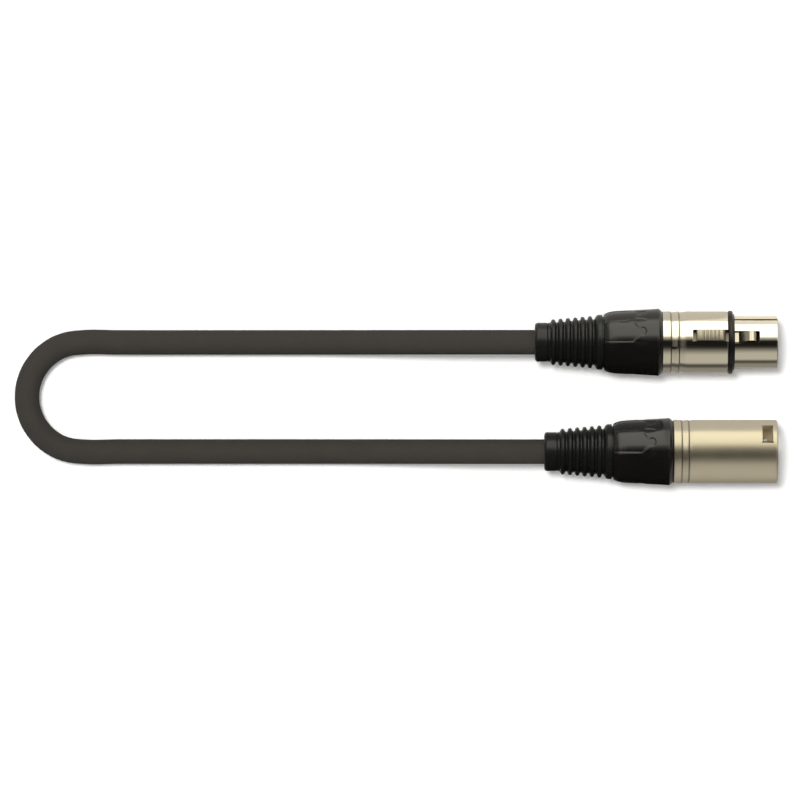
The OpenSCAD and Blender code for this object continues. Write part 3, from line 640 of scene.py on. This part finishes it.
# ---- Female contacts ----
# A moulded black block fills the shell and the nose. Three split sockets of silver-plated brass
# sit in it, each behind a round hole with a lead-in, and the latch lies in a channel on top.
contact_block = new_finish("contact_block", (0.010, 0.010, 0.011), (0.016, 0.016, 0.016),
                           0.42, 0.12, 220, 3000, 8e-6, IOR=1.52)
silver_contact = new_finish("silver_contact", (0.78, 0.76, 0.70), (0.86, 0.84, 0.79),
                            0.18, 0.08, 300, 4000, 1e-6, Metallic=1.0)
dress(("female_insert",), contact_block)
dress(("female_contact_1", "female_contact_2", "female_contact_3"), silver_contact)

# ---- Male shell ----
# Die-cast zinc with a satin champagne nickel finish: the same rear as the female shell, then a
# plain tube whose front is the cup round the pins, with a window that the other plug's hook enters.
male_body, cup_radius, stop_radius = 9.5, 8.05, 6.7
stop_start, cup_start, rim = 54.56, 55.86, 69.86
satin_nickel = new_finish("satin_nickel", (0.77, 0.69, 0.55), (0.80, 0.72, 0.58),
                          0.32, 0.06, 110, 5000, 3e-6, Metallic=1.0)
body_start, male_drops, groove_end = 38.6, (41.1, 43.2), 44.9
male_outline = spigot_outline(shell_bore, stop_start, body_start)
male_outline += [(male_body - 0.2, body_start), (male_body, body_start + 0.2)]
male_outline += grooves(male_body, *male_drops, groove_end, 0.2)
male_outline += [(male_body, station) for station in (50, 56, 62, 65, 68.4)]
male_outline += arc(male_body - 0.6, rim - 0.6, 0.6, 0, 90, 8)
male_outline += arc(cup_radius + 0.3, rim - 0.3, 0.3, 90, 180, 4)
male_outline += [(cup_radius, cup_start), (stop_radius, cup_start), (stop_radius, stop_start)]
male_shell = combined(turned(male_outline), spigot_thread(), "UNION")
window_half, window_start, window_end = 3.2, 65.2, 68.2
window = block((-window_half, 5, window_start), (window_half, 12, window_end))
male_shell = combined(male_shell, round_corners(window, (0, 1, 0), 0.25))
key_rib = block((-0.25, 7.65, cup_start - 0.3), (0.25, 8.4, rim - 1))
bmesh.ops.rotate(key_rib, verts=key_rib.verts, cent=(0, 0, 0),
                 matrix=Matrix.Rotation(keyway_turn, 3, "Z"))
male_shell = combined(male_shell, key_rib, "UNION")
round_edges(male_shell, 0.15, lambda spot: spot.y > 8.5 and abs(spot.x) < window_half + 0.1
            and 60 < spot.z < rim - 1)
keep_flats(new_piece("male_shell_casting", male_shell, plugs["male"], satin_nickel, "lead",
                     "male_shell"))
paint_seam_shade(satin_nickel, plugs["male"].translation, male_drops)

# ---- Male contacts ----
# The block behind the cup and its three turned pins, plated like the sockets.
dress(("male_insert",), contact_block)
dress(("male_pin_1", "male_pin_2", "male_pin_3"), silver_contact)

# ---- Cable ends and chucks ----
# Inside the caps: the acetal chuck that grips the jacket, and the stripped cable with its
# tinned copper shield and its red and white cores, each soldered into a cup.
chuck_plastic = new_finish("chuck_plastic", (0.70, 0.69, 0.64), (0.76, 0.75, 0.71),
                           0.38, 0.1, 200, 2000, 5e-6)
copper_wire = new_finish("copper_wire", (0.72, 0.36, 0.20), (0.80, 0.45, 0.27),
                         0.3, 0.2, 900, 6000, 1.5e-5, Metallic=1.0)
red_core = new_finish("red_core", (0.42, 0.02, 0.015), (0.50, 0.03, 0.02),
                      0.35, 0.1, 400, 3000, 5e-6)
white_core = new_finish("white_core", (0.72, 0.72, 0.70), (0.80, 0.80, 0.78),
                        0.35, 0.1, 400, 3000, 5e-6)
for sex in plugs:
    dress((sex + "_chuck",), chuck_plastic)
    dress((sex + "_cable_end",), cable_jacket)
    dress((sex + "_shield_wire",), copper_wire)
    dress((sex + "_conductor_2",), red_core)
    dress((sex + "_conductor_3",), white_core)

# ---- Surface and light ----
# A white surface that keeps a soft shadow, one soft lamp from the upper left, and a studio whose
# bright side, dark gap overhead and dimmer far side are what the plating mirrors.
floor_mesh = bmesh.new()
bmesh.ops.create_grid(floor_mesh, x_segments=1, y_segments=1, size=4)
floor_data = bpy.data.meshes.new("floor")
floor_mesh.to_mesh(floor_data)
floor_mesh.free()
floor = bpy.data.objects.new("floor", floor_data)
collection.objects.link(floor)
white = bpy.data.materials.new("white_surface")
white.use_nodes = True
tree = white.node_tree
tree.nodes.remove(tree.nodes["Principled BSDF"])
rays = add_node(tree, "LightPath")
# Painted shade and light in what the plating mirrors of the surface, which differs by place: darker
# between the plugs, where their shadow falls, brighter round the female nose, and in front of the male
# plug darker near it and fading towards the viewer's side
spot = add_node(tree, "SeparateXYZ", {0: add_node(tree, "TexCoord")["Object"]})
shaded_between = add_node(tree, "MapRange", {"Value": spot["Y"], "From Min": -0.004, "From Max": 0.002,
                                      "To Min": 0.52, "To Max": 0.36})[0]
nose = add_node(tree, "MapRange", {"Value": spot["X"], "From Min": 0.0225, "From Max": 0.0245,
                                   "To Min": 0.6, "To Max": 0.9})[0]
beyond = add_node(tree, "Math", {0: spot["Y"], 1: 0.0185}, operation="GREATER_THAN")[0]
upper = add_node(tree, "Mix", {0: beyond, 2: shaded_between, 3: nose}, data_type="FLOAT")[0]
lower = add_node(tree, "MapRange", {"Value": spot["Y"], "From Min": -0.07, "From Max": -0.035,
                                    "To Min": 0.46, "To Max": 0.3})[0]
below = add_node(tree, "Math", {0: spot["Y"], 1: -0.0185}, operation="LESS_THAN")[0]
mirrored_level = add_node(tree, "Mix", {0: below, 2: upper, 3: lower}, data_type="FLOAT")[0]
mirrored_paper = add_node(tree, "VectorMath", {0: (1, 0.98, 0.9)}, operation="SCALE")[0]
tree.links.new(mirrored_level, mirrored_paper.node.inputs["Scale"])
paper = add_node(tree, "Mix", {0: rays["Is Glossy Ray"], 6: (0.9, 0.9, 0.9, 1), 7: mirrored_paper},
                 data_type="RGBA")[2]
seen = add_node(tree, "Math", {0: rays["Is Camera Ray"], 1: 0.19}, operation="MULTIPLY")[0]
diffuse = add_node(tree, "BsdfDiffuse", {"Color": paper})[0]
glow = add_node(tree, "Emission", {"Strength": seen})[0]
total = add_node(tree, "AddShader", {0: diffuse, 1: glow})[0]
tree.links.new(total, tree.nodes["Material Output"].inputs["Surface"])
floor_data.materials.append(white)


def level_ramp(tree, share, stops, tint=(1, 1, 1)):
    """Brightness along a share from 0 to 1, given as (share, level) stops."""
    ramp = tree.nodes.new("ShaderNodeValToRGB")
    while len(ramp.color_ramp.elements) < len(stops):
        ramp.color_ramp.elements.new(0.5)
    for stop, (station, level) in zip(ramp.color_ramp.elements, stops):
        stop.position, stop.color = station, (*(level * part for part in tint), 1)
    tree.links.new(share, ramp.inputs[0])
    return ramp.outputs[0]


def new_card(name, x_range, z_range, y, front, back, kind="Emission", reach=10):
    """An upright card that only reflections see. front faces +Y, back faces -Y: a list of (share
    of the height, brightness), or None for clear. kind is how it acts, and reach is the distance
    in metres from which it is clear."""
    bm = bmesh.new()
    (x1, x2), (z1, z2) = x_range, z_range
    corners = (x2, y, z1), (x1, y, z1), (x1, y, z2), (x2, y, z2)
    bm.faces.new([bm.verts.new(corner) for corner in corners])
    mesh = bpy.data.meshes.new(name)
    bm.to_mesh(mesh)
    bm.free()
    card = bpy.data.objects.new(name, mesh)
    collection.objects.link(card)
    material = bpy.data.materials.new(name)
    material.use_nodes = True
    tree = material.node_tree
    tree.nodes.remove(tree.nodes["Principled BSDF"])
    height = add_node(tree, "SeparateXYZ", {0: add_node(tree, "TexCoord")["Object"]})["Z"]
    sides = []
    for levels in (front, back):
        if levels is None:
            sides.append(add_node(tree, "BsdfTransparent")[0])
            continue
        share = add_node(tree, "MapRange", {"Value": height, "From Min": z1, "From Max": z2})[0]
        colour = level_ramp(tree, share, levels, tint=(1, 0.985, 0.9))
        sides.append(add_node(tree, kind, {"Color": colour})[0])
    behind = add_node(tree, "NewGeometry")["Backfacing"]
    total = add_node(tree, "MixShader", {0: behind, 1: sides[0], 2: sides[1]})[0]
    far = add_node(tree, "Math", {0: add_node(tree, "LightPath")["Ray Length"], 1: reach},
                   operation="GREATER_THAN")[0]
    clear = add_node(tree, "BsdfTransparent")[0]
    total = add_node(tree, "MixShader", {0: far, 1: total, 2: clear})[0]
    tree.links.new(total, tree.nodes["Material Output"].inputs["Surface"])
    mesh.materials.append(material)
    card.visible_camera = card.visible_diffuse = False
    card.visible_shadow = card.visible_transmission = False


# Each card has a side towards one plug: black and dim ones keep the caps' and boots' lower side
# dark, a scrim dims what the male shell mirrors from the far side, and the short one between the
# shells hides the plugs from each other
black = ((0.0, 0.006), (1.0, 0.006))
new_card("female_dark_card", (-0.25, 0.001), (0.0005, 0.05), 0.005, black, None)
new_card("male_side_card", (-0.25, 0.001), (0.0005, 0.0206), 0.002, None,
         ((0.0, 0.3), (1.0, 0.26)))
new_card("male_dark_card", (-0.25, 0.0046), (0.0005, 0.055), -0.0285, black, None, reach=0.033)
new_card("male_scrim", (0.0016, 0.06), (0.0196, 0.115), 0.0, None,
         ((0.0, 0.66), (0.2, 0.6), (0.4, 0.42), (1.0, 0.55)), kind="BsdfTransparent")
new_card("middle_card", (0.0016, 0.06), (0.0005, 0.0195), 0.0,
         ((0.0, 0.30), (0.55, 0.28), (0.68, 0.10), (0.80, 0.10), (0.92, 0.5), (1.0, 0.55)),
         ((0.0, 0.56), (1.0, 0.60)))

lamp_data = bpy.data.lights.new("soft_lamp", "SUN")
lamp_data.energy = 2.45
lamp_data.angle = radians(12)
lamp_data.color = (1.0, 0.992, 0.975)
lamp = bpy.data.objects.new("soft_lamp", lamp_data)
lamp_tilt, lamp_side = radians(11.5), radians(45)
shine = Vector((sin(lamp_tilt) * cos(lamp_side), -sin(lamp_tilt) * sin(lamp_side), -cos(lamp_tilt)))
lamp.rotation_euler = shine.to_track_quat("-Z", "Y").to_euler()
lamp.location = (0, 0, 1)
lamp.visible_glossy = False
collection.objects.link(lamp)

# Brightness of the studio by the angle from overhead, towards the female plug's side. Past a
# quarter to either end it gives way to the plainer ends of the room.
studio = ((-180, 0.6), (-92, 0.5), (-84, 0.56), (-50, 0.54), (-42, 0.42), (-30, 0.18), (-21, 0.04),
          (-13, 0.012), (4, 0.012), (9, 0.12), (13, 0.35), (18, 0.5), (22, 1.2), (25, 1.8), (83, 2.0),
          (88, 1.0), (91, 0.6), (180, 0.6))
ends_of_room = ((-180, 0.3), (-90, 0.3), (-20, 0.22), (8, 0.25), (20, 1.8), (78, 1.9), (90, 0.6),
                (180, 0.3))
brightest = 2.0
world = bpy.data.worlds.new("studio")
bpy.context.scene.world = world
world.use_nodes = True
tree = world.node_tree
tree.nodes.clear()
direction = add_node(tree, "SeparateXYZ", {0: add_node(tree, "TexCoord")["Generated"]})
lean = add_node(tree, "Math", {0: direction["Y"], 1: direction["Z"]}, operation="ARCTAN2")[0]
share = add_node(tree, "MapRange", {"Value": lean, "From Min": -pi, "From Max": pi})[0]
levels = [level_ramp(tree, share, [((angle + 180) / 360, level / brightest) for angle, level in stops])
          for stops in (studio, ends_of_room)]
along = add_node(tree, "Math", {0: direction["X"]}, operation="ABSOLUTE")[0]
end_mask = add_node(tree, "MapRange", {"Value": along, "From Min": 0.1, "From Max": 0.34},
                    interpolation_type="SMOOTHSTEP")[0]
side = add_node(tree, "MapRange", {"Value": direction["X"], "From Min": 0.55, "From Max": 0.85,
                                   "To Min": 1.0, "To Max": 0.15})[0]
rear = add_node(tree, "MapRange", {"Value": direction["X"], "From Min": -0.6, "From Max": -0.32,
                                   "To Min": 0.2, "To Max": 1.0})[0]
side = add_node(tree, "Math", {0: side, 1: rear}, operation="MULTIPLY")[0]
end_level = add_node(tree, "Math", {0: levels[1], 1: side}, operation="MULTIPLY")[0]
mixed = add_node(tree, "Mix", {0: end_mask, 2: levels[0], 3: end_level}, data_type="FLOAT")[0]
mirrored = add_node(tree, "VectorMath", {0: (brightest, brightest * 0.985, brightest * 0.88)},
                    operation="SCALE")
tree.links.new(mixed, mirrored[0].node.inputs["Scale"])
rays = add_node(tree, "LightPath")
diffuse_level = 0.3
plain = add_node(tree, "Mix", {0: rays["Is Glossy Ray"], 6: (diffuse_level,) * 3 + (1,),
                               7: mirrored[0]}, data_type="RGBA")[2]
open_rays = add_node(tree, "Math", {0: rays["Is Camera Ray"], 1: rays["Is Transmission Ray"]},
                     operation="MAXIMUM")[0]
level = add_node(tree, "Mix", {0: open_rays, 6: plain, 7: (1, 1, 1, 1)}, data_type="RGBA")[2]
sky = add_node(tree, "Background", {"Color": level})[0]
output = tree.nodes.new("ShaderNodeOutputWorld")
tree.links.new(sky, output.inputs["Surface"])
bpy.context.scene.view_settings.view_transform = "Standard"
